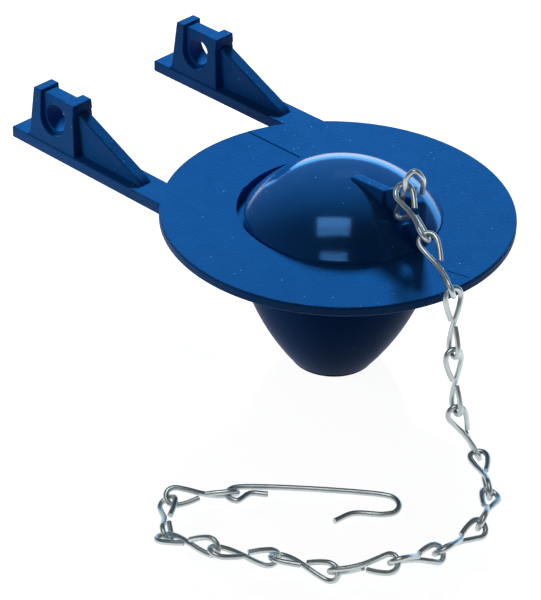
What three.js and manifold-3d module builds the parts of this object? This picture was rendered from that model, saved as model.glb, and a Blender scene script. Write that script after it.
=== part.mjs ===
// A toilet flapper: one rubber moulding with its lift chain and lever hook, in millimetres, +Z up.
// The origin is the centre of the flange's flat underside, the face that seals on the valve seat.
// +X points from the two ears to the chain tab, and Y = 0 is the moulding's plane of symmetry.
// The moulding stands on the bulb's lower lip, and the chain runs down to the same surface.

import * as THREE from 'three';
import { mergeVertices } from 'three/addons/utils/BufferGeometryUtils.js';
import Module from 'manifold-3d';

const wasm = await Module();
wasm.setup();

// Seal flange, with the width of its flat ring round the dome
const flangeRadius = 38;
const sealWidth = 16.75;
const flangeThickness = 2.2;
const flangeEdge = 0.4;

// Dome, set a little towards the tab in its round opening, which leaves a trough behind it
const domeRadius = flangeRadius - sealWidth;
const domeRise = 10.3;
const domeOffset = 1.7;
const openingPlay = 0.25;
const openingRadius = domeRadius + openingPlay;
const troughDepth = 2.4;

// Hollow bulb below the flange, open at its mouth
const bulbShoulder = 1.25;
const bulbRadius = domeRadius + bulbShoulder;
const bulbDepth = 35.1;
const bulbSwell = 2.8;
const bulbWall = 1.8;
const mouthRim = 9.6;
const lipHeight = 0.7;
const lipStep = 0.35;

// Chain tab, an upright plate on the dome's front. Its hole is set by the dome's height under it
const tabThickness = 1.8;
const tabToe = 0.55;
const tabLength = 20.5;
const tabHoleInset = 5.1;
const tabFront = domeOffset + domeRadius + tabToe;
const tabBack = tabFront - tabLength;
const tabHoleX = tabFront - tabHoleInset;
const tabBackDrop = 0.1;
const tabHead = 5.4;
const tabCorner = 1;
const tabHoleRadius = 2.1;
const tabHoleLift = 2.06;

// Arms that carry the ears, flush with the flange's top
const armSpacing = 44;
const armWidth = 7.6;
const armReach = 74.8;
const armDrop = 0.5;

// Ears with their peg holes
const earBack = 69.4;
const earLength = 14.7;
const earRise = 12.1;
const earDraft = 1.1;
const earPost = 3.5;
const earWeb = 3.6;
const earSill = 0.6;
const capOverhang = 0.4;
const pegHoleRadius = 3.1;
const pegHoleRise = 6.4;

// Gussets between the ears and the flange
const gussetThickness = 3;
const gussetRise = 9.6;
const gussetToe = 1.9;
const gussetFront = 38.4;
const gussetFillet = 1.4;

// Chain of like links, each one wire bent into two loops at a right angle
const wireDiameter = 1.15;
const linkHalf = 7.35;
const loopHalf = 1.8;
const waistOffset = 0.45;
const cutEndOffset = 0.62;
const cutEndSetback = 0.6;
const linkPlay = 0.45;
const linkSteps = 28;
const arcOffset = linkHalf - loopHalf;
const tabClearance = 0.4;

// Heading, slope and roll of each like link in degrees, from the tab down to the surface and along it
const chainPose = [
  [-25, -20, 40],
  [-20, -30, 25],
  [-35, -75, 165],
  [-10, -80, 190],
  [55, -65, 85],
  [-40, 0, 5],
  [-60, 10, 160],
  [-90, 5, -225],
  [-95, 20, -225],
  [-155, -25, -45],
  [-165, -5, 110],
  [-120, 20, 95],
  [-170, -15, 100],
  [135, -5, -120],
  [55, -4, -140],
];

// Lever hook, one wire with an eye for the last link
const hookWire = 1.2;
const hookLength = 36.2;
const hookWidth = 6.4;
const hookSteps = 56;
const hookHeading = 43;
const hookPlay = -0.45;

// Height of the lowest steel above the surface that the lip stands on
const surfaceGap = 0.02;

// Facets round a turned part, and round a wire
const turnedSides = 48;
const wireSides = 8;

// Depth by which joined shapes of the moulding run into one another
const weld = 0.5;
const deg = Math.PI / 180;

const rubber = new THREE.MeshStandardMaterial({ color: 0x1b5599, roughness: 0.55, metalness: 0 });
const steel = new THREE.MeshStandardMaterial({ color: 0xa9b2b4, roughness: 0.3, metalness: 1 });
const part = new THREE.Group();

function addPiece(name, geometry, material) {
  const mesh = new THREE.Mesh(geometry, material);
  mesh.name = name;
  part.add(mesh);
  return mesh;
}

// Turns a closed geometry into a solid that can be joined and cut.
function solidOf(geometry) {
  geometry.deleteAttribute('normal');
  geometry.deleteAttribute('uv');
  const merged = mergeVertices(geometry, 1e-4);
  const index = merged.index.array;
  const corners = [];
  for (let i = 0; i < index.length; i += 3) {
    const [a, b, c] = index.subarray(i, i + 3);
    if (a !== b && b !== c && c !== a) corners.push(a, b, c);
  }
  const vertProperties = new Float32Array(merged.attributes.position.array);
  const triVerts = new Uint32Array(corners);
  return new wasm.Manifold(new wasm.Mesh({ numProp: 3, vertProperties, triVerts }));
}

// Gives a solid back as a geometry.
function geometryOf(solid) {
  const mesh = solid.getMesh();
  const geometry = new THREE.BufferGeometry();
  geometry.setAttribute('position', new THREE.BufferAttribute(mesh.vertProperties, 3));
  geometry.setIndex(new THREE.BufferAttribute(mesh.triVerts, 1));
  geometry.computeVertexNormals();
  return geometry;
}

// Turns a profile of [radius, height] points about the Z axis.
function turned(points) {
  const profile = points.map(([radius, height]) => new THREE.Vector2(radius, height));
  const geometry = new THREE.LatheGeometry(profile, turnedSides);
  geometry.rotateX(Math.PI / 2);
  return solidOf(geometry);
}

// Extrudes a shape drawn in X and Z along Y, by the given thickness about the given Y.
function upright(shape, middleY, thickness, curveSegments = 12) {
  const geometry = new THREE.ExtrudeGeometry(shape, {
    depth: thickness,
    bevelEnabled: false,
    curveSegments,
  });
  geometry.rotateX(Math.PI / 2);
  geometry.translate(0, middleY + thickness / 2, 0);
  return solidOf(geometry);
}

// Makes a shape from its corners.
function outline(corners) {
  return new THREE.Shape(corners.map(([x, y]) => new THREE.Vector2(x, y)));
}

// Points of an arc that bulges outwards from its chord, in a [radius, height] profile.
function bulgedArc([r0, z0], [r1, z1], bulge, steps) {
  const chord = Math.hypot(r1 - r0, z1 - z0);
  const radius = (chord * chord) / (8 * bulge) + bulge / 2;
  const halfAngle = Math.asin(chord / 2 / radius);
  const [alongR, alongZ] = [(r1 - r0) / chord, (z1 - z0) / chord];
  const points = [];
  for (let i = 0; i <= steps; i += 1) {
    const angle = halfAngle * ((2 * i) / steps - 1);
    const run = radius * Math.sin(angle) + chord / 2;
    const lift = radius * Math.cos(angle) - radius + bulge;
    points.push([r0 + alongR * run + alongZ * lift, z0 + alongZ * run - alongR * lift]);
  }
  return points;
}

// Points of a sphere's profile from one radius up to its crown.
function capArc(radius, centreHeight, rimRadius, steps) {
  const rimAngle = Math.asin(rimRadius / radius);
  const points = [];
  for (let i = 0; i < steps; i += 1) {
    const angle = rimAngle * (1 - i / steps);
    points.push([radius * Math.sin(angle), centreHeight + radius * Math.cos(angle)]);
  }
  points.push([0, centreHeight + radius]);
  return points;
}

// The flange and the bulb, with the opening that the dome stands in.
function makeFlangeAndBulb() {
  const flange = turned([
    [0, 0],
    [flangeRadius - flangeEdge, 0],
    [flangeRadius, flangeEdge],
    [flangeRadius, flangeThickness - flangeEdge],
    [flangeRadius - flangeEdge, flangeThickness],
    [0, flangeThickness],
  ]);
  const bulb = turned([
    [0, -bulbDepth],
    [mouthRim - lipStep, -bulbDepth],
    [mouthRim - lipStep, lipHeight - bulbDepth],
    ...bulgedArc([mouthRim, lipHeight - bulbDepth], [bulbRadius, 0], bulbSwell, 8),
    [bulbRadius, weld],
    [0, weld],
  ]);
  const opening = turned([
    [0, flangeThickness - troughDepth],
    [openingRadius, flangeThickness - troughDepth],
    [openingRadius, flangeThickness + weld],
    [0, flangeThickness + weld],
  ]);
  return flange.add(bulb).subtract(opening);
}

// The sphere that the dome is part of, as its radius and the height of its centre.
const domeSphere = (domeRadius ** 2 + domeRise ** 2) / (2 * domeRise);
const domeCentre = flangeThickness + domeRise - domeSphere;
const domeFloor = flangeThickness - troughDepth;
const domeUnderHole = domeCentre + Math.sqrt(domeSphere ** 2 - (tabHoleX - domeOffset) ** 2);
const holeHeight = domeUnderHole + tabHoleLift;

function makeDome() {
  return turned([
    [0, domeFloor - weld],
    [domeRadius, domeFloor - weld],
    ...capArc(domeSphere, domeCentre, domeRadius, 7),
  ]).translate([domeOffset, 0, 0]);
}

// The bulb's hollow and the dome's, which open into each other and out of the mouth.
function makeHollow() {
  const ceiling = domeFloor - bulbWall;
  const mouthBore = mouthRim - bulbWall;
  const bulbBore = bulbRadius - bulbWall;
  const domeBore = bulbBore - domeOffset;
  const lower = turned([
    [0, -bulbDepth - weld],
    [mouthBore, -bulbDepth - weld],
    ...bulgedArc([mouthBore, lipHeight - bulbDepth], [bulbBore, ceiling], bulbSwell, 7),
    [0, ceiling],
  ]);
  const upper = turned([
    [0, ceiling - weld],
    [domeBore, ceiling - weld],
    ...capArc(domeSphere - bulbWall, domeCentre, domeBore, 6),
  ]).translate([domeOffset, 0, 0]);
  return lower.add(upper);
}

// The upright tab with its chain hole.
function makeTab() {
  const top = holeHeight + tabHead;
  const shape = outline([
    [tabBack, 0],
    [tabFront, weld],
    [tabFront, top - tabCorner],
    [tabFront - tabCorner, top],
    [tabBack, flangeThickness + domeRise - tabBackDrop],
  ]);
  const hole = new THREE.Path();
  hole.absarc(tabHoleX, holeHeight, tabHoleRadius, 0, 2 * Math.PI, true);
  shape.holes.push(hole);
  return upright(shape, 0, tabThickness, 10);
}

// An ear's block, whose four sides lean in from its foot to its top.
function makeEarBlock(middleX, middleY) {
  const geometry = new THREE.BoxGeometry(earLength, armWidth, earRise + weld);
  const corners = geometry.attributes.position;
  for (let i = 0; i < corners.count; i += 1) {
    const lean = corners.getZ(i) > 0 ? earDraft : 0;
    corners.setX(i, corners.getX(i) - Math.sign(corners.getX(i)) * lean);
    corners.setY(i, corners.getY(i) - Math.sign(corners.getY(i)) * lean);
  }
  geometry.translate(middleX, middleY, flangeThickness + (earRise - weld) / 2);
  return solidOf(geometry);
}

// An ear: two posts and a web between them, with the peg hole through the web and a cap that
// stands a little proud of the front post.
function makeEar(middleY) {
  const middleX = earLength / 2 - earBack;
  const earFront = earLength - earBack;
  const pocket = earLength / 2 - earPost;
  const holeHeight = flangeThickness + pegHoleRise;
  const above = flangeThickness + earRise + weld;
  const pocketShape = new THREE.Shape();
  pocketShape.moveTo(middleX - pocket, above);
  pocketShape.lineTo(middleX - pocket, holeHeight);
  pocketShape.absarc(middleX, holeHeight, pocket, Math.PI, 2 * Math.PI, false);
  pocketShape.lineTo(middleX + pocket, above);
  const sillShape = outline([
    [middleX - pocket, above - weld - earSill],
    [middleX + pocket, above - weld - earSill],
    [middleX + pocket, above],
    [middleX - pocket, above],
  ]);
  const holeShape = new THREE.Shape();
  holeShape.absarc(middleX, holeHeight, pegHoleRadius, 0, 2 * Math.PI, false);
  let ear = makeEarBlock(middleX, middleY)
    .subtract(upright(sillShape, middleY, armWidth))
    .subtract(upright(holeShape, middleY, armWidth));
  const capShape = outline([
    [earFront - earPost, flangeThickness + gussetRise],
    [earFront - earDraft + capOverhang, flangeThickness + gussetRise],
    [earFront - earDraft + capOverhang, flangeThickness + earRise],
    [earFront - earPost, flangeThickness + earRise],
  ]);
  ear = ear.add(upright(capShape, middleY, armWidth - 2 * earDraft));
  for (const side of [-1, 1]) {
    const pocketMiddle = middleY + (side * (earWeb + armWidth)) / 2;
    ear = ear.subtract(upright(pocketShape, pocketMiddle, armWidth));
  }
  return ear;
}

// An arm with its ear and the gusset that braces it.
function makeArm(side) {
  const middleY = (side * armSpacing) / 2;
  const top = flangeThickness;
  const earFront = earBack - earLength;
  const farEdge = Math.sqrt(flangeRadius ** 2 - (armSpacing / 2 + armWidth / 2) ** 2);
  const slab = outline([
    [-armReach, -armDrop],
    [weld - farEdge, -armDrop],
    [weld - farEdge, top],
    [-armReach, top],
  ]);
  // The arm's foot ends where the flange's flat underside begins
  const underFlange = turned([
    [0, -armDrop - weld],
    [flangeRadius, -armDrop - weld],
    [flangeRadius, 0],
    [0, 0],
  ]);
  const gusset = outline([
    [-earFront - weld, top - weld],
    [gussetFillet - gussetFront, top - weld],
    [gussetFillet - gussetFront, top],
    [gussetFillet * 0.3 - gussetFront, top + gussetToe * 0.3],
    [-gussetFront, top + gussetToe],
    [-earFront, top + gussetRise],
    [-earFront - earDraft - weld, top + gussetRise],
  ]);
  return upright(slab, middleY, armWidth)
    .subtract(underFlange)
    .add(upright(gusset, middleY, gussetThickness))
    .add(makeEar(middleY));
}

const body = makeFlangeAndBulb()
  .add(makeDome())
  .add(makeTab())
  .add(makeArm(-1))
  .add(makeArm(1))
  .subtract(makeHollow());
addPiece('flapper_body', geometryOf(body), rubber);

// Bends a round wire along a smooth curve through the given points.
function bentWire(points, diameter, steps) {
  const section = new THREE.Shape();
  section.absarc(0, 0, diameter / 2, 0, 2 * Math.PI, false);
  const path = new THREE.CatmullRomCurve3(points.map((p) => new THREE.Vector3(...p)), false, 'centripetal');
  const geometry = new THREE.ExtrudeGeometry(section, {
    steps,
    extrudePath: path,
    bevelEnabled: false,
    curveSegments: wireSides / 2,
  });
  return geometryOf(solidOf(geometry));
}

// The tab link stands through the tab's hole and straddles the plate. It is a little shorter than
// the others and its lower loop is bent wider, so that it turns freely. Each row of its shape gives
// a point's distance from the hole's middle as shares of a link's half length, and then the strand
// that it is on: 1 and -1 for the strands on the two sides of the plate, 0 for neither.
const strandY = tabThickness / 2 + wireDiameter / 2 + tabClearance;
const tabLinkShape = [
  [0.517, 0.082, 0.884, 0],
  [0.571, 0, 1.401, 0],
  [0.395, -0.163, 1.646, 0],
  [0.245, -0.327, 1.388, 0],
  [0.231, -0.354, 1.007, 0],
  [0.095, -0.027, 0.626, -1],
  [-0.095, 0, 0.19, -1],
  [-0.068, 0.027, -0.027, -1],
  [0, 0, -0.122, 0],
  [0.068, -0.027, -0.027, 1],
  [0.109, 0, 0.19, 1],
  [0.109, 0, 0.571, 1],
  [0.122, -0.041, 0.816, 1],
];
const tabLinkPoints = tabLinkShape.map(([x, y, z, strand]) => [
  tabHoleX + x * linkHalf,
  y * linkHalf + strand * strandY,
  holeHeight + z * linkHalf,
]);
addPiece('tab_link', bentWire(tabLinkPoints, wireDiameter, linkSteps), steel);

// Points of a like link in its own frame: a loop at each end of X, the first flat in XY and the
// second flat in XZ, with the two cut ends of the wire turned in beside its waist.
function likeLinkPoints() {
  const slant = loopHalf * Math.SQRT1_2;
  const loop = [
    [cutEndSetback, cutEndOffset],
    [linkHalf * 0.42, loopHalf * 0.8],
    [arcOffset, loopHalf],
    [arcOffset + slant, slant],
    [linkHalf, 0],
    [arcOffset + slant, -slant],
    [arcOffset, -loopHalf],
    [linkHalf * 0.42, -loopHalf * 0.72],
  ];
  const first = loop.map(([along, across]) => [-along, across, 0]);
  const second = loop.toReversed().map(([along, across]) => [along, 0, -across]);
  return [...first, [0, -waistOffset, waistOffset], ...second];
}

function linkTurn([heading, slope, roll]) {
  return new THREE.Euler(roll * deg, -slope * deg, heading * deg, 'ZYX');
}

// Directions of a link's length and of its two loops' widths.
function linkAxes(pose) {
  const axes = [[1, 0, 0], [0, 1, 0], [0, 0, 1]];
  return axes.map((axis) => new THREE.Vector3(...axis).applyEuler(linkTurn(pose)));
}

// The chain hangs from the tab link to the surface and lies there. Each link's loops have the
// middle of their round ends on the line where the two loops' planes cross, within the play.
const chainStep = 2 * loopHalf - wireDiameter - linkPlay;
let loopMiddle = new THREE.Vector3(0.163, -0.313, 0.939).multiplyScalar(linkHalf);
loopMiddle.add(new THREE.Vector3(tabHoleX, 0, holeHeight));
let previous = null;
chainPose.forEach((pose, i) => {
  const [along, widthA, widthB] = linkAxes(pose);
  if (previous) {
    const step = new THREE.Vector3().crossVectors(previous.widthA, widthB).normalize();
    if (step.dot(previous.along.clone().add(along)) < 0) step.negate();
    loopMiddle = previous.loopMiddle.clone().addScaledVector(step, chainStep);
  }
  const link = addPiece(
    `chain_link_${String(i + 1).padStart(2, '0')}`,
    bentWire(likeLinkPoints(), wireDiameter, linkSteps),
    steel,
  );
  link.position.copy(loopMiddle).addScaledVector(along, arcOffset);
  link.rotation.copy(linkTurn(pose));
  loopMiddle = loopMiddle.clone().addScaledVector(along, 2 * arcOffset);
  previous = { along, widthA, loopMiddle };
});

// The hook's eye is threaded on the last link, and its bend lies on the surface. The rows of the
// eye's and the tip's shapes are shares of the hook's width.
const hookBend = hookWidth / 2;
const hookReach = hookLength - hookWire;
const legY = hookWidth * 0.375;
const bendX = hookReach - hookBend;
const eyeShape = [
  [1.313, 0.078],
  [0.75, 0.078],
  [0.344, -0.328],
  [0.094, -0.219],
  [0, 0],
  [0.109, 0.234],
  [0.391, 0.375],
];
const tipShape = [
  [-0.953, -0.031],
  [-1.563, -0.469],
];
const hookPoints = [
  ...eyeShape.map(([x, y]) => [x * hookWidth, y * hookWidth]),
  [bendX, legY],
  [bendX + hookBend * 0.71, legY - hookBend * 0.29],
  [hookReach, legY - hookBend],
  [bendX + hookBend * 0.71, legY - hookBend * 1.71],
  [bendX, legY - hookWidth],
  ...tipShape.map(([x, y]) => [bendX + x * hookWidth, legY - hookWidth + y * hookWidth]),
].map(([x, y]) => [x, y, 0]);
const hook = addPiece('lever_hook', bentWire(hookPoints, hookWire, hookSteps), steel);
hook.position.copy(previous.loopMiddle).addScaledVector(previous.along, hookPlay);
const eyeLift = hook.position.z + bulbDepth - hookWire / 2 - surfaceGap;
hook.rotation.set(0, Math.asin(eyeLift / hookReach), hookHeading * deg, 'ZYX');

export default part;
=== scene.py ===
"""Looks of a toilet flapper: one blue rubber moulding, its lift chain and its lever hook.

The sections follow the object as it is put together. Lengths are in millimetres until a finished
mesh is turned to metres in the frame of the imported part: the origin is the middle of the flange's
sealing face, +X points from the ears to the chain tab and +Z is up.
"""

import math

import bmesh
import bpy
import numpy as np
from mathutils import Euler, Matrix, Quaternion, Vector


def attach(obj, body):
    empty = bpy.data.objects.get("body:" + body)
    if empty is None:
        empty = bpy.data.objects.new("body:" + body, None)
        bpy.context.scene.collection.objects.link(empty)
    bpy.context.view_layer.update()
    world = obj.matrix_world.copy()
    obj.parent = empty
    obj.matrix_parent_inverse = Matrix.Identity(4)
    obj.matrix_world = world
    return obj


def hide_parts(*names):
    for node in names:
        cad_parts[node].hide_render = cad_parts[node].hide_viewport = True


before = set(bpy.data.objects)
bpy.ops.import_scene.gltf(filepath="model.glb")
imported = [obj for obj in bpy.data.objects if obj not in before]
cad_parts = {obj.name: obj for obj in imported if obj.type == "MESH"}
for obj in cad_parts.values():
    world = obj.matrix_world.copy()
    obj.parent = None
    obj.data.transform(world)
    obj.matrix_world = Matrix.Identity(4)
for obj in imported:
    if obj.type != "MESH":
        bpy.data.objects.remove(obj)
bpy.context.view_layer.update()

# Rubber of the moulding
# The flapper is one compression moulding in blue chlorine-proof rubber. The mould was fine-blasted
# where the flange and the arms form, and polished where the dome and the bulb form.


def linear(hex_colour):
    """An sRGB hex colour as linear red, green, blue and alpha."""
    shares = [((hex_colour >> shift) & 255) / 255 for shift in (16, 8, 0)]
    return [s / 12.92 if s <= 0.04045 else ((s + 0.055) / 1.055) ** 2.4 for s in shares] + [1.0]


def add_node(tree, kind, settings=None, inputs=None):
    """Adds a node. Each input is given by name or index, as a value or as the socket to link."""
    made = tree.nodes.new(kind)
    for name, value in (settings or {}).items():
        setattr(made, name, value)
    for key, value in (inputs or {}).items():
        if isinstance(value, bpy.types.NodeSocket):
            tree.links.new(value, made.inputs[key])
        else:
            made.inputs[key].default_value = value
    return made


def new_material(name):
    """A material without nodes, its node tree, and the place on the piece for its patterns."""
    material = bpy.data.materials.new(name)
    material.use_nodes = True
    material.node_tree.nodes.clear()
    place = add_node(material.node_tree, "ShaderNodeTexCoord").outputs["Object"]
    return material, material.node_tree, place


PER_MM = 1000.0  # Object coordinates are metres, so a scale of 1000 / size gives that size in mm
RUBBER_BLUES = 0x135294, 0x104886
DOME_BLUES = 0x104B89, 0x0D417B
# The bulb's blues are darker than the flange's: painted shade for the shadow under the flange
BULB_SHADE_BLUES = 0x0C3E7C, 0x0A3670
DUST_BLUE = 0x5C93CC
SHEEN_BLUE = 0x5CAAFF  # the pigment lies so near the skin that it tints what the skin mirrors
MOTTLE_MM = 4.0
DUST_CELL_MM, DUST_CORE, DUST_EDGE = 2.0, 0.05, 0.1  # core and edge are shares of a cell
ROUGHNESS_SPREAD = 0.1


def rubber(name, colours, roughness, specular, grain_mm, grain_height, dust_share, bloom=0.0):
    """Blue moulded rubber with its mould grain, mottle, pale dust specks and waxy bloom."""
    material, tree, place = new_material(name)
    # Mottle of the pigment, in soft clouds
    mottle = add_node(
        tree,
        "ShaderNodeTexNoise",
        inputs={"Vector": place, "Scale": PER_MM / MOTTLE_MM, "Detail": 3.0},
    )
    blue = add_node(
        tree,
        "ShaderNodeMix",
        {"data_type": "RGBA"},
        {0: mottle.outputs["Fac"], 6: linear(colours[1]), 7: linear(colours[0])},
    )
    # Dust specks 0.3 mm across, drawn as coarse as the render can show
    cells = add_node(
        tree,
        "ShaderNodeTexVoronoi",
        inputs={"Vector": place, "Scale": PER_MM / DUST_CELL_MM, "Randomness": 1.0},
    )
    near = add_node(
        tree,
        "ShaderNodeMapRange",
        inputs={
            "Value": cells.outputs["Distance"],
            "From Min": DUST_CORE,
            "From Max": DUST_EDGE,
            "To Min": 1.0,
            "To Max": 0.0,
        },
    )
    pick = add_node(tree, "ShaderNodeSeparateColor", inputs={"Color": cells.outputs["Color"]})
    some = add_node(
        tree,
        "ShaderNodeMath",
        {"operation": "LESS_THAN"},
        {0: pick.outputs["Red"], 1: dust_share},
    )
    dust = add_node(
        tree,
        "ShaderNodeMath",
        {"operation": "MULTIPLY"},
        {0: near.outputs["Result"], 1: some.outputs["Value"]},
    )
    colour = add_node(
        tree,
        "ShaderNodeMix",
        {"data_type": "RGBA"},
        {0: dust.outputs["Value"], 6: blue.outputs[2], 7: linear(DUST_BLUE)},
    )
    # Grain of the mould's face
    grain = add_node(
        tree,
        "ShaderNodeTexNoise",
        inputs={"Vector": place, "Scale": PER_MM / grain_mm, "Detail": 2.0},
    )
    bump = add_node(
        tree,
        "ShaderNodeBump",
        inputs={"Strength": 1.0, "Distance": grain_height / PER_MM, "Height": grain.outputs["Fac"]},
    )
    rough = add_node(
        tree,
        "ShaderNodeMapRange",
        inputs={
            "Value": grain.outputs["Fac"],
            "To Min": roughness * (1 - ROUGHNESS_SPREAD),
            "To Max": roughness * (1 + ROUGHNESS_SPREAD),
        },
    )
    shader = add_node(
        tree,
        "ShaderNodeBsdfPrincipled",
        inputs={
            "Base Color": colour.outputs[2],
            "Roughness": rough.outputs["Result"],
            "IOR": 1.5,
            "Specular IOR Level": specular,
            "Specular Tint": linear(SHEEN_BLUE),
            "Sheen Weight": bloom,
            "Sheen Roughness": 0.4,
            "Sheen Tint": linear(SHEEN_BLUE),
            "Normal": bump.outputs["Normal"],
        },
    )
    add_node(tree, "ShaderNodeOutputMaterial", inputs={"Surface": shader.outputs["BSDF"]})
    return material


# Blasted mould face: matt, with an even fine grain that hides reflections
matt_rubber = rubber(
    "Moulded_rubber_blasted_face",
    RUBBER_BLUES,
    roughness=0.55,
    specular=0.12,
    grain_mm=0.45,
    grain_height=0.14,
    dust_share=0.45,
)
# Polished mould face: smooth and glossy, so that the windows show in it
gloss_rubber = rubber(
    "Moulded_rubber_polished_face",
    DOME_BLUES,
    roughness=0.125,
    specular=0.8,
    grain_mm=0.6,
    grain_height=0.004,
    dust_share=0.25,
)
# Face of the thick bulb: a deeper blue, which is painted shade for the shadow it hangs in under the
# flange, and dulled by a bloom that lightens its outline
bulb_rubber = rubber(
    "Moulded_rubber_bulb_face",
    BULB_SHADE_BLUES,
    roughness=0.3,
    specular=0.008,
    grain_mm=0.8,
    grain_height=0.006,
    dust_share=0.1,
    bloom=0.35,
)
MATT, GLOSS, BULB = 0, 1, 2

# Seal flange, bulb and dome
# The round flange seals on the valve seat. A hollow bulb hangs below it, open at its mouth, and a
# dome closes the hollow above. They are turned shapes of the one moulding, the dome a bit forward.

FLANGE_RADIUS, FLANGE_TOP = 38.0, 2.2
FLANGE_EDGE = 0.5
DOME_RADIUS, DOME_RISE, DOME_X = 21.25, 10.3, 1.7
CROWN_SINK, CROWN_REACH = 0.5, 14.0
OPENING_RADIUS, OPENING_EDGE = 21.5, 0.15
TROUGH_FLOOR, TROUGH_FILLET = -0.2, 0.3
BULB_RADIUS, BULB_FOOT, BULB_SWELL, BULB_FILLET = 22.5, -35.1, 2.8, 0.5
BULB_FINISH_TOP = -0.6
WALL = 1.8
MOUTH_RIM, LIP_HEIGHT, LIP_STEP, LIP_EDGE = 9.6, 0.7, 0.35, 0.12
LIP_BLEND, LIP_SHOULDER = 0.05, 0.15
CREVICE, CREVICE_RISE, CREVICE_LIP = 0.16, 0.14, 0.05
TURNED_SIDES, BULB_STEPS, BORE_STEPS, DOME_STEPS = 240, 56, 32, 44
WELD = 0.5
dome_sphere = (DOME_RADIUS**2 + DOME_RISE**2) / (2 * DOME_RISE)
dome_centre = FLANGE_TOP + DOME_RISE - dome_sphere


def added(name, data):
    """Adds an object with the given mesh, light or camera to the scene."""
    made = bpy.data.objects.new(name, data)
    bpy.context.scene.collection.objects.link(made)
    return made


def solid(name, corners, faces, finishes):
    """A closed mesh object in millimetres, with its faces turned outwards."""
    mesh = bpy.data.meshes.new(name)
    mesh.from_pydata([tuple(c) for c in corners], [], faces)
    for slot_material in (matt_rubber, gloss_rubber, bulb_rubber):
        mesh.materials.append(slot_material)
    mesh.polygons.foreach_set("material_index", finishes)
    mesh.polygons.foreach_set("use_smooth", [True] * len(faces))
    shape = bmesh.new()
    shape.from_mesh(mesh)
    bmesh.ops.recalc_face_normals(shape, faces=shape.faces)
    shape.to_mesh(mesh)
    shape.free()
    return added(name, mesh)


def turned(name, profile, finish_at, middle_x=0.0):
    """Turns a [radius, height] profile, which starts and ends on the axis, about the Z axis."""
    corners, faces, finishes, rings = [], [], [], []
    for radius, height in profile:
        count = TURNED_SIDES if radius > 0 else 1
        rings.append((len(corners), count))
        for i in range(count):
            a = 2 * math.pi * i / TURNED_SIDES
            corners.append((middle_x + radius * math.cos(a), radius * math.sin(a), height))
    for k in range(len(profile) - 1):
        (first, first_count), (second, second_count) = rings[k], rings[k + 1]
        finish = finish_at((profile[k][1] + profile[k + 1][1]) / 2)
        for i in range(TURNED_SIDES):
            j = (i + 1) % TURNED_SIDES
            start = (first + i, first + j) if first_count > 1 else (first,)
            end = (second + j, second + i) if second_count > 1 else (second,)
            faces.append(start + end)
            finishes.append(finish)
    return solid(name, corners, faces, finishes)


def arc(middle, radius, start, end, steps):
    """Points of an arc from one angle to another, in degrees."""
    angles = [math.radians(start + (end - start) * i / steps) for i in range(steps + 1)]
    return [(middle[0] + radius * math.cos(a), middle[1] + radius * math.sin(a)) for a in angles]


def bulged(start, end, bulge, steps):
    """Points of an arc that bulges outwards from its chord, from start to end."""
    (r0, z0), (r1, z1) = start, end
    chord = math.hypot(r1 - r0, z1 - z0)
    radius = chord**2 / (8 * bulge) + bulge / 2
    half = math.asin(chord / 2 / radius)
    along = ((r1 - r0) / chord, (z1 - z0) / chord)
    points = []
    for i in range(steps + 1):
        a = half * (2 * i / steps - 1)
        run, lift = radius * math.sin(a) + chord / 2, radius * math.cos(a) - radius + bulge
        points.append((r0 + along[0] * run + along[1] * lift, z0 + along[1] * run - along[0] * lift))
    return points


def cap(radius, centre, rim, steps):
    """Points of the dome's profile from rim to crown, where it is a little flatter than a sphere."""
    start = math.asin(rim / radius)
    points = []
    for i in range(steps + 1):
        a = start * (1 - i / steps)
        reach = radius * math.sin(a)
        sink = CROWN_SINK * max(0.0, 1 - (reach / CROWN_REACH) ** 2) ** 2
        points.append((reach, centre + radius * math.cos(a) - sink))
    return points


def baked(piece):
    """Turns a piece's modifiers into its own plain mesh."""
    bpy.context.view_layer.update()
    graph = bpy.context.evaluated_depsgraph_get()
    mesh = bpy.data.meshes.new_from_object(piece.evaluated_get(graph), depsgraph=graph)
    piece.modifiers.clear()
    piece.data = mesh
    return piece


def combined(base, tool, operation):
    """Joins or cuts one solid with another and keeps the result as the first one's mesh."""
    step = base.modifiers.new(operation, "BOOLEAN")
    step.operation, step.solver, step.object = operation, "EXACT", tool
    baked(base)
    bpy.data.objects.remove(tool)
    return base


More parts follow.
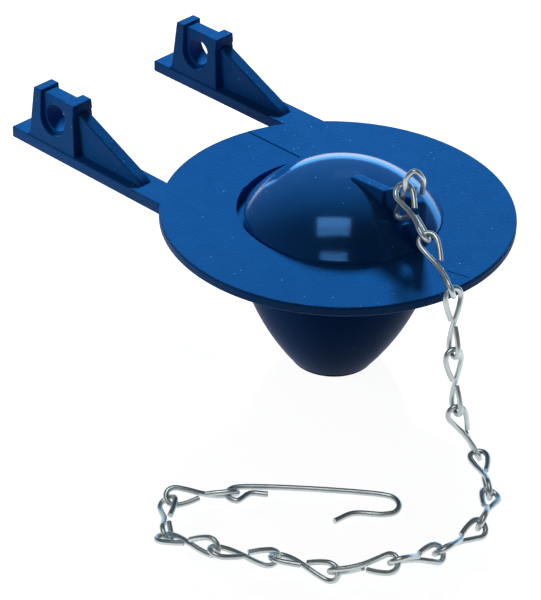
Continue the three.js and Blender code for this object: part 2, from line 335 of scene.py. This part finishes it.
inner_mouth = MOUTH_RIM - WALL
lip_top = LIP_HEIGHT + BULB_FOOT
bulb_skin = bulged((MOUTH_RIM, lip_top), (BULB_RADIUS, 0.0), BULB_SWELL, BULB_STEPS)[::-1]
bore_top = (BULB_RADIUS - WALL, TROUGH_FLOOR - WALL)
bulb_bore = bulged((inner_mouth, lip_top), bore_top, BULB_SWELL, BORE_STEPS)
flange_profile = [
    (0.0, TROUGH_FLOOR),
    (OPENING_RADIUS - TROUGH_FILLET, TROUGH_FLOOR),
    *arc((OPENING_RADIUS - TROUGH_FILLET, TROUGH_FLOOR + TROUGH_FILLET), TROUGH_FILLET, -90, 0, 3)[1:],
    *arc((OPENING_RADIUS + OPENING_EDGE, FLANGE_TOP - OPENING_EDGE), OPENING_EDGE, 180, 90, 3),
    *arc((FLANGE_RADIUS - FLANGE_EDGE, FLANGE_TOP - FLANGE_EDGE), FLANGE_EDGE, 90, 0, 5),
    *arc((FLANGE_RADIUS - FLANGE_EDGE, FLANGE_EDGE), FLANGE_EDGE, 0, -90, 5),
    *arc((BULB_RADIUS + BULB_FILLET, -BULB_FILLET), BULB_FILLET, 90, 170, 4),
    *bulb_skin[2:],  # the fillet stands in for the first two points
    (MOUTH_RIM - LIP_STEP * 0.8, lip_top - LIP_BLEND),
    (MOUTH_RIM - LIP_STEP, lip_top - LIP_SHOULDER),
    (MOUTH_RIM - LIP_STEP, BULB_FOOT + LIP_EDGE),
    (MOUTH_RIM - LIP_STEP - LIP_EDGE, BULB_FOOT),
    (inner_mouth + LIP_EDGE, BULB_FOOT),
    (inner_mouth, BULB_FOOT + LIP_EDGE),
    *bulb_bore,
    (0.0, TROUGH_FLOOR - WALL),
]
body = turned("flapper_moulding", flange_profile, lambda z: BULB if z < BULB_FINISH_TOP else MATT)
# A fine crevice runs round the dome's foot, where it meets the flange
skin_foot = FLANGE_TOP + CREVICE_RISE + CREVICE_LIP
dome_skin = [p for p in cap(dome_sphere, dome_centre, DOME_RADIUS, DOME_STEPS) if p[1] > skin_foot]
dome_profile = [
    (0.0, TROUGH_FLOOR - WELD),
    (DOME_RADIUS - CREVICE, TROUGH_FLOOR - WELD),
    (DOME_RADIUS - CREVICE, FLANGE_TOP + CREVICE_RISE),
    *dome_skin,
]
combined(body, turned("dome", dome_profile, lambda z: GLOSS, DOME_X), "UNION")

# Mould lines on the flange
# A mould insert left a bare panel behind the dome, sunk by a hair from the trough to the rim, and its
# two sloping sides show as fine lines. A short line runs out at the front.

PANEL_DEPTH, PANEL_ABOVE, PANEL_SLOPE = 0.2, 0.3, 1.2
PANEL_START, PANEL_END, PANEL_SIDES = -42.0, -20.2, (-9.8, 10.2)
LINE_START, LINE_LENGTH, LINE_TURN = (32.1, -2.1, 0.0), 5.0, 15
LINE_DEPTH, LINE_ABOVE, LINE_FOOT_HALF, LINE_TOP_HALF = 0.1, 0.15, 0.05, 0.3


def frustum(name, foot, top, low, high):
    """A block whose foot and top are rectangles (x0, x1, y0, y1) at two heights."""
    corners = []
    for (x0, x1, y0, y1), z in ((foot, low), (top, high)):
        corners += [(x0, y0, z), (x1, y0, z), (x1, y1, z), (x0, y1, z)]
    walls = [(i, (i + 1) % 4, (i + 1) % 4 + 4, i + 4) for i in range(4)]
    return solid(name, corners, [(0, 1, 2, 3), (4, 5, 6, 7)] + walls, [MATT] * 6)


foot_in, top_out = PANEL_SLOPE * PANEL_DEPTH, PANEL_SLOPE * PANEL_ABOVE
panel = frustum(
    "panel",
    (PANEL_START, PANEL_END, PANEL_SIDES[0] + foot_in, PANEL_SIDES[1] - foot_in),
    (PANEL_START, PANEL_END, PANEL_SIDES[0] - top_out, PANEL_SIDES[1] + top_out),
    FLANGE_TOP - PANEL_DEPTH,
    FLANGE_TOP + PANEL_ABOVE,
)
combined(body, panel, "DIFFERENCE")
line = frustum(
    "front_line",
    (0.0, LINE_LENGTH, -LINE_FOOT_HALF, LINE_FOOT_HALF),
    (0.0, LINE_LENGTH, -LINE_TOP_HALF, LINE_TOP_HALF),
    FLANGE_TOP - LINE_DEPTH,
    FLANGE_TOP + LINE_ABOVE,
)
line.data.transform(Matrix.Translation(LINE_START) @ Matrix.Rotation(math.radians(LINE_TURN), 4, "Z"))
combined(body, line, "DIFFERENCE")

# Chain tab
# An upright plate moulded on the dome's front, with rounded edges and a hole for the first link.
# A stout ridge with sloping flanks and a rounded end stiffens its back.

TAB_THICKNESS, TAB_BACK, TAB_FRONT, TAB_TOP = 1.8, 5.5, 23.5, 13.9
TAB_CORNER, TAB_EDGE = 1.5, 0.42
TAB_STEP = [(15.2, 13.8), (14.2, 13.4), (13.2, 12.6), (TAB_BACK, 12.2)]  # down to the ridge
RIDGE_BACK, RIDGE_FRONT, RIDGE_FOOT, RIDGE_TOP_BACK, RIDGE_TOP_FRONT = 4.1, 13.6, 9.5, 12.35, 12.75
RIDGE_WIDTH, RIDGE_TAPER, RIDGE_EDGE = 3.6, 0.7, 0.5
HOLE_X, HOLE_Z, HOLE_RADIUS = 18.4, 8.8, 2.1
HOLE_SIDES = 48
HOLE_TOOL = 6.0  # width of the shape that cuts the hole, more than the plate's


def circle(middle, radius):
    """Points of a hole's outline."""
    return arc(middle, radius, 0, 360, HOLE_SIDES)[:-1]


def prism(name, outline, middle_y, width):
    """A plate of the given outline in X and Z, that thick along Y."""
    count = len(outline)
    corners = [(x, middle_y + side * width / 2, z) for side in (-1, 1) for x, z in outline]
    faces = [tuple(range(count)), tuple(range(2 * count - 1, count - 1, -1))]
    faces += [(i, i + count, (i + 1) % count + count, (i + 1) % count) for i in range(count)]
    return solid(name, corners, faces, [MATT] * len(faces))


def rounded(piece, width, segments=3, angle=40):
    """Rounds a solid's edges as a mould's do."""
    edge = piece.modifiers.new("edge", "BEVEL")
    edge.width, edge.segments, edge.use_clamp_overlap = width, segments, False
    edge.limit_method, edge.angle_limit = "ANGLE", math.radians(angle)
    return baked(piece)


plate_outline = [
    (TAB_BACK, 0.0),
    (TAB_FRONT, WELD),
    *arc((TAB_FRONT - TAB_CORNER, TAB_TOP - TAB_CORNER), TAB_CORNER, 0, 85, 8),
    *TAB_STEP,
]
tab = prism("tab", plate_outline, 0.0, TAB_THICKNESS)
tab_hole = prism("tab_hole", circle((HOLE_X, HOLE_Z), HOLE_RADIUS), 0.0, HOLE_TOOL)
combined(tab, tab_hole, "DIFFERENCE")
combined(body, rounded(tab, TAB_EDGE), "UNION")
ridge_outline = [
    (RIDGE_BACK, RIDGE_FOOT),
    (RIDGE_FRONT, RIDGE_FOOT),
    (RIDGE_FRONT, RIDGE_TOP_FRONT),
    (RIDGE_BACK, RIDGE_TOP_BACK),
]
ridge = prism("ridge", ridge_outline, 0.0, RIDGE_WIDTH)
for corner in ridge.data.vertices:
    if corner.co.z > RIDGE_FOOT:
        corner.co.y *= RIDGE_TAPER
combined(body, rounded(ridge, RIDGE_EDGE, segments=4), "UNION")

# Arms, gussets and ears
# Two arms reach back from the flange to the overflow tube. Each ends in an ear: two posts and a
# web with the hole that snaps on a peg, braced by a gusset. All are one with the flange.

ARM_Y, ARM_WIDTH, ARM_BACK, ARM_FOOT, ARM_EDGE = 22.0, 7.6, -74.8, -0.5, 0.3
EAR_BACK, EAR_FRONT, EAR_TOP, EAR_DRAFT = -69.4, -54.7, 14.3, 1.1
EAR_POST, EAR_WEB, EAR_SILL, EAR_LEDGE, EAR_EDGE = 3.5, 3.6, 0.6, 0.3, 0.22
TOOL_TOP, TOOL_WIDTH, POCKET_TOOL = 18.0, 12.0, 8.0  # cutting shapes, larger than what they cut
CAP_LENGTH, CAP_FOOT_REACH, CAP_TOP_REACH = 2.45, 0.4, 0.36
CAP_PROUD, CAP_DRAFT, CAP_RISE = 0.04, 0.2, 0.1
PEG_Z, PEG_RADIUS = 8.6, 3.1
GUSSET_TOP, GUSSET_TOE, GUSSET_FRONT = 11.8, 4.1, -38.4
GUSSET_WIDTH, GUSSET_ROOT, GUSSET_EDGE = 3.0, 1.5, 0.35
GUSSET_NOSE = ((2.95, 2.4), (2.65, 1.75), (2.05, 1.1), (1.1, 0.45), (0.0, 0.0))
HEEL_ROOT, HEEL_REACH, HEEL_RADIUS, HEEL_TOP = 1.0, 0.9, 1.0, 1.2
HEEL_SINK, HEEL_INSET = 0.3, 0.8
UNDERCUT_FOOT, UNDERCUT_TOP = -3.0, 0.45
ear_x = (EAR_BACK + EAR_FRONT) / 2
pocket_half = (EAR_FRONT - EAR_BACK) / 2 - EAR_POST


def rectangle(start, end, low, high):
    """Corners of a rectangle."""
    return [(start, low), (end, low), (end, high), (start, high)]


def ear():
    """The ear of an arm whose middle is Y = 0."""
    half, d = ARM_WIDTH / 2, EAR_DRAFT
    block = frustum(
        "ear",
        (EAR_BACK, EAR_FRONT, EAR_LEDGE - half, half - EAR_LEDGE),
        (EAR_BACK + d, EAR_FRONT - d, -half + d, half - d),
        FLANGE_TOP - WELD,
        EAR_TOP,
    )
    sill = rectangle(ear_x - pocket_half, ear_x + pocket_half, EAR_TOP - EAR_SILL, TOOL_TOP)
    combined(block, prism("sill", sill, 0.0, TOOL_WIDTH), "DIFFERENCE")
    pocket = [
        (ear_x + pocket_half, TOOL_TOP),
        (ear_x - pocket_half, TOOL_TOP),
        *arc((ear_x, PEG_Z), pocket_half, 180, 360, 24),
    ]
    for side in (-1, 1):
        pocket_y = side * (EAR_WEB / 2 + POCKET_TOOL / 2)
        combined(block, prism("pocket", pocket, pocket_y, POCKET_TOOL), "DIFFERENCE")
    rounded(block, EAR_EDGE)
    # The front post's cap stands a little proud of the post and of the gusset under it
    post_front = EAR_FRONT - d
    cap_half = half - d + CAP_PROUD
    foot_half = cap_half + CAP_DRAFT
    front = frustum(
        "post_cap",
        (post_front - CAP_LENGTH, post_front + CAP_FOOT_REACH, -foot_half, foot_half),
        (post_front - CAP_LENGTH, post_front + CAP_TOP_REACH, -cap_half, cap_half),
        GUSSET_TOP + CAP_RISE,
        EAR_TOP,
    )
    combined(block, rounded(front, EAR_EDGE), "UNION")
    hole = prism("peg_hole", circle((ear_x, PEG_Z), PEG_RADIUS), 0.0, TOOL_WIDTH)
    return combined(block, hole, "DIFFERENCE")


def arm(side):
    """An arm from the flange's rim to its tail, with its gusset, ear and heel fillet."""
    outer = math.sqrt(FLANGE_RADIUS**2 - (ARM_Y + ARM_WIDTH / 2) ** 2)
    slab_outline = rectangle(ARM_BACK, WELD - outer, ARM_FOOT, FLANGE_TOP)
    slab = rounded(prism("arm", slab_outline, 0.0, ARM_WIDTH), ARM_EDGE, angle=50)
    slab.data.transform(Matrix.Translation((0.0, side * ARM_Y, 0.0)))
    # The foot of the arm ends at the flange's rim
    undercut = rectangle(0.0, FLANGE_RADIUS, UNDERCUT_FOOT, UNDERCUT_TOP)
    under = turned("under_flange", undercut, lambda z: MATT)
    combined(slab, under, "DIFFERENCE")
    gusset_outline = [
        (EAR_FRONT - GUSSET_ROOT, FLANGE_TOP - WELD),
        *[(GUSSET_FRONT + x, GUSSET_TOE - z) for x, z in GUSSET_NOSE],
        (EAR_FRONT, GUSSET_TOP),
        (EAR_FRONT - GUSSET_ROOT, GUSSET_TOP),
    ]
    gusset = rounded(prism("gusset", gusset_outline, 0.0, GUSSET_WIDTH), GUSSET_EDGE, angle=30)
    heel_outline = [
        (EAR_BACK + HEEL_ROOT, FLANGE_TOP - HEEL_SINK),
        (EAR_BACK + HEEL_ROOT, FLANGE_TOP + HEEL_TOP),
        *arc((EAR_BACK - HEEL_REACH, FLANGE_TOP + HEEL_RADIUS), HEEL_RADIUS, 0, -90, 5),
        (EAR_BACK - HEEL_REACH, FLANGE_TOP - HEEL_SINK),
    ]
    heel = prism("heel", heel_outline, 0.0, ARM_WIDTH - HEEL_INSET)
    for piece in (gusset, ear(), heel):
        piece.data.transform(Matrix.Translation((0.0, side * ARM_Y, 0.0)))
        combined(slab, piece, "UNION")
    return slab


for side in (-1, 1):
    combined(body, arm(side), "UNION")

# Hollow of the moulding
# A core in the mould left the bulb and the dome hollow. The hollow under the dome is cut last, so
# that nothing stands in it, and then the moulding is whole.

HOLLOW_STEPS = 24
DOUBLE, SLIVER = 0.002, 0.001  # corners and edges closer than this are one
SHARP_ANGLE = 35

dome_bore = BULB_RADIUS - WALL - DOME_X
hollow_profile = [
    (0.0, TROUGH_FLOOR - WALL - WELD),
    (dome_bore, TROUGH_FLOOR - WALL - WELD),
    *cap(dome_sphere - WALL, dome_centre, dome_bore, HOLLOW_STEPS),
]
combined(body, turned("hollow", hollow_profile, lambda z: MATT, DOME_X), "DIFFERENCE")
cleaned = bmesh.new()
cleaned.from_mesh(body.data)
bmesh.ops.remove_doubles(cleaned, verts=cleaned.verts, dist=DOUBLE)
bmesh.ops.dissolve_degenerate(cleaned, edges=cleaned.edges, dist=SLIVER)
cleaned.to_mesh(body.data)
cleaned.free()
body.data.transform(Matrix.Scale(1 / PER_MM, 4))
body.data.polygons.foreach_set("use_smooth", [True] * len(body.data.polygons))
body.data.set_sharp_from_angle(angle=math.radians(SHARP_ANGLE))
shading = body.modifiers.new("flat faces stay flat", "WEIGHTED_NORMAL")
shading.keep_sharp = True
baked(body)
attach(body, "root")
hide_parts("flapper_body")

# Steel wire
# The links and the hook are bent from drawn stainless wire. Drawing leaves fine lines along it,
# which stretch its highlights, and handling has dulled it in patches.

STEEL_LIGHT, STEEL_DULL = 0xD3DCDD, 0xACB6B8
BRIGHT_ROUGHNESS, DULL_ROUGHNESS = 0.3, 0.42
PATCH_MM, DRAWN_LINE_MM, DRAWN_LINE_DEPTH = 5.0, 0.12, 0.01
WIRE_SIDES, WIRE_SHARP_ANGLE = 14, 50


def steel_wire():
    """Drawn stainless steel wire, with its lines running along the wire."""
    material, tree, place = new_material("Drawn_stainless_wire")
    section = add_node(tree, "ShaderNodeAttribute", {"attribute_name": "section"}).outputs["Vector"]
    patches = add_node(
        tree,
        "ShaderNodeTexNoise",
        inputs={"Vector": place, "Scale": PER_MM / PATCH_MM, "Detail": 4.0},
    )
    # Drawing lines are finer on real wire, and are drawn as coarse as the render can show
    lines = add_node(
        tree,
        "ShaderNodeTexNoise",
        inputs={"Vector": section, "Scale": PER_MM / DRAWN_LINE_MM, "Detail": 2.0},
    )
    colour = add_node(
        tree,
        "ShaderNodeMix",
        {"data_type": "RGBA"},
        {0: patches.outputs["Fac"], 6: linear(STEEL_DULL), 7: linear(STEEL_LIGHT)},
    )
    rough = add_node(
        tree,
        "ShaderNodeMapRange",
        inputs={
            "Value": patches.outputs["Fac"],
            "From Min": 0.3,
            "From Max": 0.7,
            "To Min": DULL_ROUGHNESS,
            "To Max": BRIGHT_ROUGHNESS,
        },
    )
    bump = add_node(
        tree,
        "ShaderNodeBump",
        inputs={"Strength": 0.5, "Distance": DRAWN_LINE_DEPTH / PER_MM, "Height": lines.outputs["Fac"]},
    )
    shader = add_node(
        tree,
        "ShaderNodeBsdfPrincipled",
        inputs={
            "Base Color": colour.outputs[2],
            "Metallic": 1.0,
            "Roughness": rough.outputs["Result"],
            "Normal": bump.outputs["Normal"],
        },
    )
    add_node(tree, "ShaderNodeOutputMaterial", inputs={"Surface": shader.outputs["BSDF"]})
    return material


# Stainless steel: grey and softly shining, brighter where it is less worn
steel = steel_wire()


def new_tree(name, inputs):
    """An empty geometry tree with named inputs, and its input node."""
    tree = bpy.data.node_groups.new(name, "GeometryNodeTree")
    tree.interface.new_socket("Geometry", in_out="INPUT", socket_type="NodeSocketGeometry")
    for label, kind in inputs:
        tree.interface.new_socket(label, in_out="INPUT", socket_type=kind)
    tree.interface.new_socket("Geometry", in_out="OUTPUT", socket_type="NodeSocketGeometry")
    return tree, add_node(tree, "NodeGroupInput")


def end_tree(tree, geometry, material):
    """Ends a geometry tree: its instances are made real, given their material and put out."""
    real = add_node(tree, "GeometryNodeRealizeInstances", inputs={"Geometry": geometry})
    painted = add_node(
        tree,
        "GeometryNodeSetMaterial",
        inputs={"Geometry": real.outputs["Geometry"], "Material": material},
    )
    add_node(tree, "NodeGroupOutput", inputs={"Geometry": painted.outputs["Geometry"]})


def grown(piece, tree, values):
    """Runs a geometry tree on a piece with the given inputs, and keeps the result as its mesh."""
    step = piece.modifiers.new(tree.name, "NODES")
    step.node_group = tree
    for item in tree.interface.items_tree:
        if item.item_type == "SOCKET" and item.in_out == "INPUT" and item.name in values:
            step[item.identifier] = values[item.name]
    baked(piece)
    piece.data.set_sharp_from_angle(angle=math.radians(WIRE_SHARP_ANGLE))
    return piece


wire_tree, given = new_tree(
    "Bent wire",
    [("Diameter", "NodeSocketFloat"), ("Sides", "NodeSocketInt"), ("Material", "NodeSocketMaterial")],
)
path = add_node(wire_tree, "GeometryNodeMeshToCurve", inputs={"Mesh": given.outputs["Geometry"]})
half_diameter = add_node(
    wire_tree,
    "ShaderNodeMath",
    {"operation": "MULTIPLY"},
    {0: given.outputs["Diameter"], 1: 0.5},
)
ring = add_node(
    wire_tree,
    "GeometryNodeCurvePrimitiveCircle",
    inputs={"Resolution": given.outputs["Sides"], "Radius": half_diameter.outputs["Value"]},
)
ring_place = add_node(wire_tree, "GeometryNodeInputPosition")
named_ring = add_node(
    wire_tree,
    "GeometryNodeStoreNamedAttribute",
    {"data_type": "FLOAT_VECTOR", "domain": "POINT"},
    {"Geometry": ring.outputs["Curve"], "Name": "section", "Value": ring_place.outputs["Position"]},
)
swept = add_node(
    wire_tree,
    "GeometryNodeCurveToMesh",
    inputs={
        "Curve": path.outputs["Curve"],
        "Profile Curve": named_ring.outputs["Geometry"],
        "Fill Caps": True,
    },
)
smooth = add_node(wire_tree, "GeometryNodeSetShadeSmooth", inputs={"Geometry": swept.outputs["Mesh"]})
end_tree(wire_tree, smooth.outputs["Geometry"], given.outputs["Material"])


def smooth_path(points, steps):
    """Points of a centripetal curve through the given points, the same curve as the solid's."""
    p = np.array(points, float)
    p = np.vstack([2 * p[0] - p[1], p, 2 * p[-1] - p[-2]])
    found = []
    for i in range(steps + 1):
        t = (len(points) - 1) * i / steps
        k = min(int(t), len(points) - 2)
        w = t - k
        p0, p1, p2, p3 = p[k : k + 4]
        d0, d1, d2 = (math.sqrt(np.linalg.norm(b - a)) for a, b in ((p0, p1), (p1, p2), (p2, p3)))
        t1 = ((p1 - p0) / d0 - (p2 - p0) / (d0 + d1) + (p2 - p1) / d1) * d1
        t2 = ((p2 - p1) / d1 - (p3 - p1) / (d1 + d2) + (p3 - p2) / d2) * d1
        square, cube = -3 * p1 + 3 * p2 - 2 * t1 - t2, 2 * p1 - 2 * p2 + t1 + t2
        found.append(p1 + t1 * w + square * w**2 + cube * w**3)
    return np.array(found)


def wire(name, points, diameter, steps):
    """A wire bent along the points, in metres."""
    along = smooth_path(points, steps) / PER_MM
    mesh = bpy.data.meshes.new(name)
    mesh.from_pydata([tuple(q) for q in along], [(i, i + 1) for i in range(steps)], [])
    values = {"Diameter": diameter / PER_MM, "Sides": WIRE_SIDES, "Material": steel}
    return grown(added(name, mesh), wire_tree, values)


# Tab link
# The first link stands through the tab's hole and straddles the plate. It is bent from the same
# stainless wire as the others, and closes on itself beside the second link.

WIRE = 1.15
LINK_HALF, LOOP_HALF = 7.35, 1.8
STRAND_GAP = 0.4
# X, Y and Z from the hole's middle, and the side of the plate that the wire runs on
TAB_LINK_SHAPE = [
    (3.8, 0.6, 6.5, 0),
    (4.2, 0.0, 10.3, 0),
    (2.9, -1.2, 12.1, 0),
    (1.8, -2.4, 10.2, 0),
    (1.7, -2.6, 7.4, 0),
    (0.7, -0.2, 4.6, -1),
    (-0.7, 0.0, 1.4, -1),
    (-0.5, 0.2, -0.2, -1),
    (0.0, 0.0, -0.9, 0),
    (0.5, -0.2, -0.2, 1),
    (0.8, 0.0, 1.4, 1),
    (0.8, 0.0, 4.2, 1),
    (0.9, -0.3, 6.0, 1),
]
strand_y = TAB_THICKNESS / 2 + WIRE / 2 + STRAND_GAP
tab_link = wire(
    "tab_link_wire",
    [(HOLE_X + x, y + strand * strand_y, HOLE_Z + z) for x, y, z, strand in TAB_LINK_SHAPE],
    WIRE,
    steps=120,
)
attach(tab_link, "root")
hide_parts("tab_link")

# Chain of like links
# Fifteen like links, each one stainless wire bent into two loops at a right angle with its two cut
# ends turned in beside its waist. They hang from the tab link and run along the surface.

ARC_OFFSET = LINK_HALF - LOOP_HALF
LINK_PLAY = 0.45
CHAIN_STEP = 2 * LOOP_HALF - WIRE - LINK_PLAY
CUT_END = (0.6, 0.62)
LINK_WAIST = 0.45
FIRST_LOOP = (0.163, -0.313, 0.939)  # from the tab's hole, in half links
# Heading, slope and roll of each link, in degrees
CHAIN_POSE = [
    (-25, -20, 40),
    (-20, -30, 25),
    (-35, -75, 165),
    (-10, -80, 190),
    (55, -65, 85),
    (-40, 0, 5),
    (-60, 10, 160),
    (-90, 5, -225),
    (-95, 20, -225),
    (-155, -25, -45),
    (-165, -5, 110),
    (-120, 20, 95),
    (-170, -15, 100),
    (135, -5, -120),
    (55, -4, -140),
]
slant = LOOP_HALF * math.sqrt(0.5)
loop = [
    CUT_END,
    (LINK_HALF * 0.42, LOOP_HALF * 0.8),
    (ARC_OFFSET, LOOP_HALF),
    (ARC_OFFSET + slant, slant),
    (LINK_HALF, 0.0),
    (ARC_OFFSET + slant, -slant),
    (ARC_OFFSET, -LOOP_HALF),
    (LINK_HALF * 0.42, -LOOP_HALF * 0.72),
]
link_points = [
    *[(-a, b, 0.0) for a, b in loop],
    (0.0, -LINK_WAIST, LINK_WAIST),
    *[(a, 0.0, -b) for a, b in reversed(loop)],
]
like_link = wire("like_link", link_points, WIRE, steps=112)

# Each loop pulls on the next one along the line that is square to both of their wires
middles, turns = [], []
hole_middle = (HOLE_X, 0.0, HOLE_Z)
loop_middle = Vector([start + share * LINK_HALF for start, share in zip(hole_middle, FIRST_LOOP)])
previous = None
for heading, slope, roll in CHAIN_POSE:
    turn = Euler([math.radians(a) for a in (roll, -slope, heading)], "XYZ")
    along, width_a, width_b = turn.to_matrix().col
    if previous:
        step = previous[1].cross(width_b).normalized()
        if step.dot(previous[0] + along) < 0:
            step.negate()
        loop_middle = loop_middle + step * CHAIN_STEP
    middles.append((loop_middle + along * ARC_OFFSET) / PER_MM)
    turns.append(tuple(turn))
    loop_middle = loop_middle + along * (2 * ARC_OFFSET)
    previous = (along.copy(), width_a.copy())

chain_tree, given = new_tree(
    "Chain of links",
    [("Link", "NodeSocketObject"), ("Material", "NodeSocketMaterial")],
)
link_shape = add_node(chain_tree, "GeometryNodeObjectInfo", inputs={"Object": given.outputs["Link"]})
turn_names = add_node(
    chain_tree,
    "GeometryNodeInputNamedAttribute",
    {"data_type": "FLOAT_VECTOR"},
    {"Name": "turn"},
)
turning = add_node(
    chain_tree,
    "FunctionNodeEulerToRotation",
    inputs={"Euler": turn_names.outputs["Attribute"]},
)
placed = add_node(
    chain_tree,
    "GeometryNodeInstanceOnPoints",
    inputs={
        "Points": given.outputs["Geometry"],
        "Instance": link_shape.outputs["Geometry"],
        "Rotation": turning.outputs["Rotation"],
    },
)
end_tree(chain_tree, placed.outputs["Instances"], given.outputs["Material"])

chain_mesh = bpy.data.meshes.new("lift_chain")
chain_mesh.from_pydata([tuple(m) for m in middles], [], [])
turn_rows = chain_mesh.attributes.new("turn", "FLOAT_VECTOR", "POINT")
turn_rows.data.foreach_set("vector", np.array(turns).ravel())
chain = grown(added("lift_chain", chain_mesh), chain_tree, {"Link": like_link, "Material": steel})
bpy.data.objects.remove(like_link)
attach(chain, "root")
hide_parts(*[f"chain_link_{i + 1:02d}" for i in range(len(CHAIN_POSE))])

# Lever hook
# The hook that clips on the flush lever: one stainless wire with an eye for the last link, a long
# leg, a round bend and a turned-in tip.

HOOK_WIRE, HOOK_LENGTH, HOOK_WIDTH, HOOK_HEADING = 1.2, 36.2, 6.4, 43
HOOK_PLAY, HOOK_CLEARANCE = -0.45, 0.02
LEG_SHARE = 0.375  # the long leg's distance from the eye's middle line, in widths
DIAGONAL = 0.71
# The eye and the tip, in widths of the hook
EYE = [
    (1.313, 0.078),
    (0.75, 0.078),
    (0.344, -0.328),
    (0.094, -0.219),
    (0.0, 0.0),
    (0.109, 0.234),
    (0.391, 0.375),
]
TIP = [(-0.953, -0.031), (-1.563, -0.469)]
hook_bend = HOOK_WIDTH / 2
hook_reach = HOOK_LENGTH - HOOK_WIRE
leg_y = HOOK_WIDTH * LEG_SHARE
bend_x = hook_reach - hook_bend
hook_points = [
    *[(x * HOOK_WIDTH, y * HOOK_WIDTH) for x, y in EYE],
    (bend_x, leg_y),
    (bend_x + hook_bend * DIAGONAL, leg_y - hook_bend * (1 - DIAGONAL)),
    (hook_reach, leg_y - hook_bend),
    (bend_x + hook_bend * DIAGONAL, leg_y - hook_bend * (1 + DIAGONAL)),
    (bend_x, leg_y - HOOK_WIDTH),
    *[(bend_x + x * HOOK_WIDTH, leg_y - HOOK_WIDTH + y * HOOK_WIDTH) for x, y in TIP],
]
hook = wire("lever_hook_wire", [(x, y, 0.0) for x, y in hook_points], HOOK_WIRE, steps=220)
# The hook's eye hangs in the last loop and its far end lies on the surface
hook_place = loop_middle + previous[0] * HOOK_PLAY
lowest = BULB_FOOT + HOOK_WIRE / 2 + HOOK_CLEARANCE
fall = math.asin((hook_place.z - lowest) / hook_reach)
hook_turn = Euler((0.0, fall, math.radians(HOOK_HEADING)), "XYZ").to_matrix().to_4x4()
hook.data.transform(Matrix.Translation(hook_place / PER_MM) @ hook_turn)
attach(hook, "root")
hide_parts("lever_hook")

# Floor, light and camera
# A plain pale floor that the bulb's lip and the chain lie on, soft studio light from behind and
# above, and the camera at the photograph's angle. Lengths here are in metres.

FLOOR_HALF = 3.0
SHEET_GREY, SHEET_WHITE = 0x8C8C8C, 0xFFFFFF
floor_mesh = bpy.data.meshes.new("floor")
floor_outline = rectangle(-FLOOR_HALF, FLOOR_HALF, -FLOOR_HALF, FLOOR_HALF)
floor_mesh.from_pydata([(x, y, BULB_FOOT / PER_MM) for x, y in floor_outline], [], [(0, 1, 2, 3)])
floor = added("floor", floor_mesh)
paper = bpy.data.materials.new("Pale_acrylic_sheet")
paper.use_nodes = True
# A light table of white acrylic: it glows, so that it looks white and shadows on it stay light
sheet = paper.node_tree.nodes["Principled BSDF"].inputs
sheet["Base Color"].default_value = linear(SHEET_GREY)
sheet["Roughness"].default_value = 0.9
sheet["Specular IOR Level"].default_value = 0.1
sheet["Emission Color"].default_value = linear(SHEET_WHITE)
sheet["Emission Strength"].default_value = 0.94
floor_mesh.materials.append(paper)
floor.visible_diffuse = False


def softbox(name, azimuth, elevation, distance, width, height, radiance, rise=0.0, roll=0, colour=0xFFFFFF):
    """A rectangular soft light that faces the object from a direction in degrees."""
    light = bpy.data.lights.new(name, "AREA")
    light.shape, light.size, light.size_y = "RECTANGLE", width, height
    light.energy = 4 * width * height * radiance
    light.color = linear(colour)[:3]
    made = added(name, light)
    a, e = math.radians(azimuth), math.radians(elevation)
    towards = Vector((math.cos(a) * math.cos(e), math.sin(a) * math.cos(e), math.sin(e)))
    facing = towards.to_track_quat("Z", "Y") @ Quaternion((0.0, 0.0, 1.0), math.radians(roll))
    made.location = towards * distance + facing @ Vector((0.0, rise, 0.0))
    made.rotation_mode = "QUATERNION"
    made.rotation_quaternion = facing
    made.visible_camera = False
    return made


# The key light behind and a small lamp by the ears are polarised, so that they leave no glare
for lamp in (
    softbox("key", 132, 34, 1.2, 0.2, 0.2, 176.0),
    softbox("ear_lamp", 227, 10, 0.165, 0.06, 0.05, 5.0),
):
    lamp.visible_glossy = False
# Two windows of three panes each, above and in front, which show only as reflections. A row gives
# name, azimuth, elevation, width, radiance and roll, then each pane's rise and height.
WINDOWS = (
    ("overhead", -90, 78, 0.48, 4.0, 39, ((0.05, 0.2), (-0.091, 0.05), (-0.154, 0.04))),
    ("front_window", -60, 50, 0.41, 3.6, 8, ((0.075, 0.018), (0.026, 0.043), (-0.049, 0.07))),
)
for name, azimuth, elevation, width, radiance, roll, panes in WINDOWS:
    for i, (rise, height) in enumerate(panes):
        pane = softbox(f"{name}_{i}", azimuth, elevation, 1.0, width, height, radiance, rise, roll)
        pane.visible_diffuse = False
# A low blue backdrop gives the dome its bright upper outline
softbox("backdrop", 115, 3, 1.4, 2.6, 0.26, 2.7, colour=0x66C4FF)
world = bpy.data.worlds.new("studio")
world.use_nodes = True
world.node_tree.nodes["Background"].inputs["Color"].default_value = (1.0, 1.0, 1.0, 1.0)
world.node_tree.nodes["Background"].inputs["Strength"].default_value = 0.1
bpy.context.scene.world = world
bpy.context.scene.view_settings.view_transform = "Standard"

CAMERA_PLACE_MM = (297.98, -341.28, 279.60)
CAMERA_RIGHT = (0.72385, 0.68968, 0.01942)
CAMERA_UP = (-0.39371, 0.38978, 0.83250)
camera_data = bpy.data.cameras.new("camera")
camera_data.sensor_width = 36.0
camera_data.lens = 150.0
camera_data.clip_start, camera_data.clip_end = 0.01, 20.0
camera = added("camera", camera_data)
right, up = Vector(CAMERA_RIGHT), Vector(CAMERA_UP)
axes = Matrix((right, up, right.cross(up))).transposed().to_4x4()
camera.matrix_world = Matrix.Translation(Vector(CAMERA_PLACE_MM) / PER_MM) @ axes
bpy.context.scene.camera = camera
